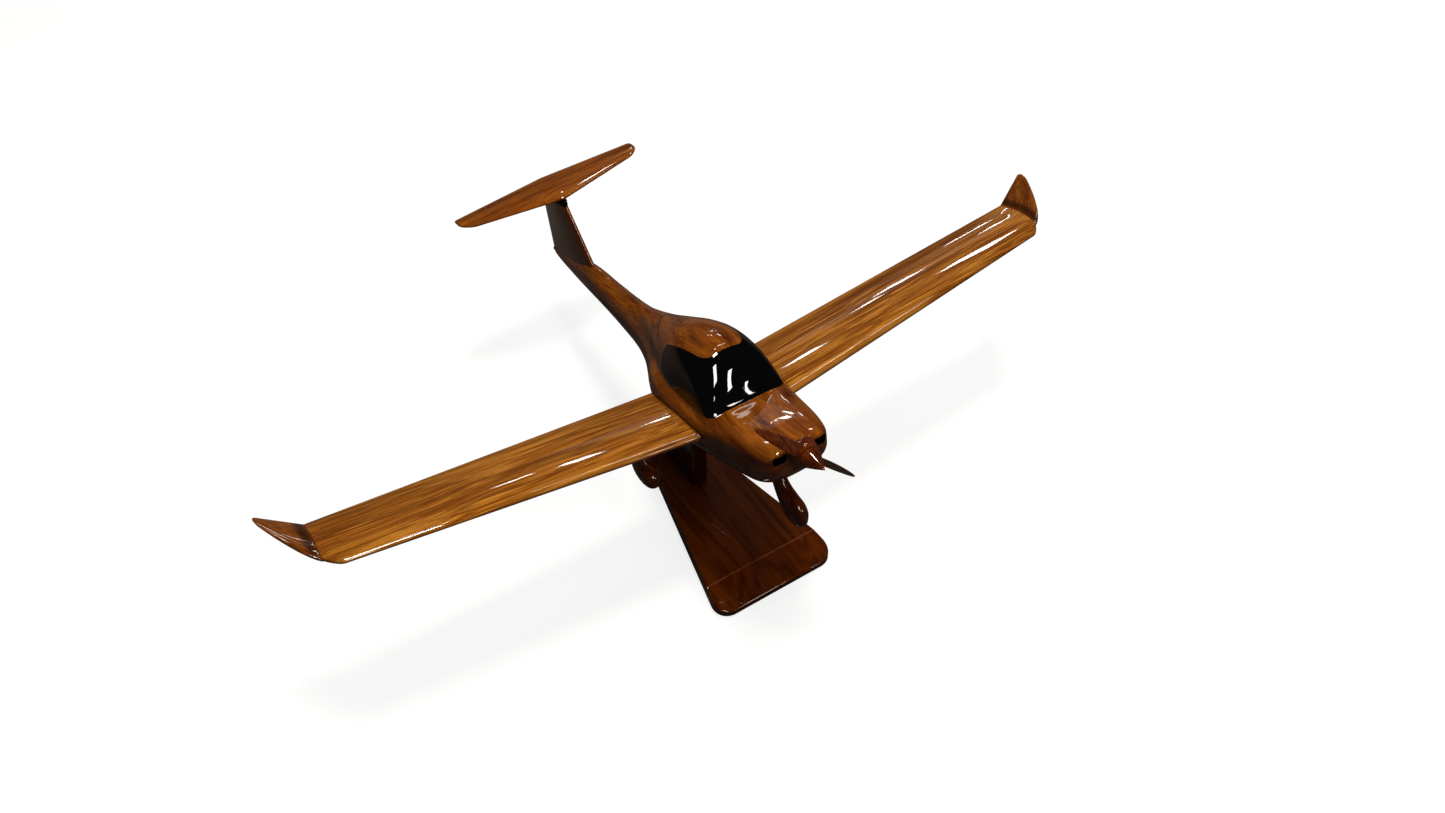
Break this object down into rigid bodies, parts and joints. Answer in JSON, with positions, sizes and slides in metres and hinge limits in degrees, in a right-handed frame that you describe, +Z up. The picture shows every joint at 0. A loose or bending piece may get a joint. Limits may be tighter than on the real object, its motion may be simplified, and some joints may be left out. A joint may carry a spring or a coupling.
{
  "type": "desk model of a light propeller aircraft",
  "caption": "Carved and lacquered mahogany desk model of a low-wing T-tail light aircraft with upturned wing tips, spatted gear and a pinned propeller, held nose-up on a bevelled wooden stand.",
  "frame": {"origin": "on the table, in the middle of the stand's width and 2 mm behind the front edge of its upright", "axes": "+X towards the port wing tip, +Y towards the tail, +Z up"},
  "size_m": [0.4806, 0.3043, 0.1717],
  "materials": {
    "mahogany": "clear gloss lacquer over orange-brown mahogany with a swirled grain",
    "wing_mahogany": "clear gloss lacquer over golden-brown mahogany with a straight streaked grain",
    "dark_mahogany": "clear gloss lacquer over dark red-brown mahogany",
    "gloss_black": "deep gloss black paint",
    "matt_black": "satin black paint",
    "beech": "bare turned dowel",
    "steel": "brushed",
    "brass": "turned",
    "felt": "dark green felt"
  },
  "bodies": {
    "stand": {"stand_base": "dark_mahogany", "base_felt": "felt", "stand_upright": "dark_mahogany", "stand_screw_front": "steel", "stand_screw_rear": "steel", "support_peg": "steel"},
    "aircraft": {"fuselage": "mahogany", "roof_block": "mahogany", "winglet_port": "mahogany", "winglet_starboard": "mahogany", "fin": "mahogany", "wing_port": "wing_mahogany", "wing_starboard": "wing_mahogany", "tailplane": "wing_mahogany", "nose_gear": "dark_mahogany", "main_leg_port": "dark_mahogany", "main_leg_starboard": "dark_mahogany", "main_spat_port": "dark_mahogany", "main_spat_starboard": "dark_mahogany", "canopy_glazing": "gloss_black", "inlet_port": "matt_black", "inlet_starboard": "matt_black", "chin_intake": "matt_black", "tailplane_saddle": "matt_black", "wing_dowel_starboard_front": "beech", "wing_dowel_starboard_rear": "beech", "wing_dowel_port_front": "beech", "wing_dowel_port_rear": "beech", "fin_dowel_front": "beech", "fin_dowel_rear": "beech", "tailplane_pin_front": "steel", "tailplane_pin_rear": "steel", "nose_gear_pin": "steel", "main_leg_pin_starboard": "steel", "main_leg_pin_port": "steel", "nose_bush": "brass", "thrust_washer": "brass"},
    "propeller": {"spinner_cone": "mahogany", "spinner_backplate": "dark_mahogany", "propeller_blades": "dark_mahogany", "propeller_pin": "steel"}
  },
  "joints": [
    {"name": "aircraft_lift", "type": "slide", "parent": "stand", "child": "aircraft", "axis": [0, 0, 1], "range_m": [0, 0.03]},
    {"name": "propeller_spin", "type": "hinge", "parent": "aircraft", "child": "propeller", "pos_m": [0, -0.10376, 0.1415], "axis": [0, 0.9799, -0.1994], "continuous": true}
  ]
}
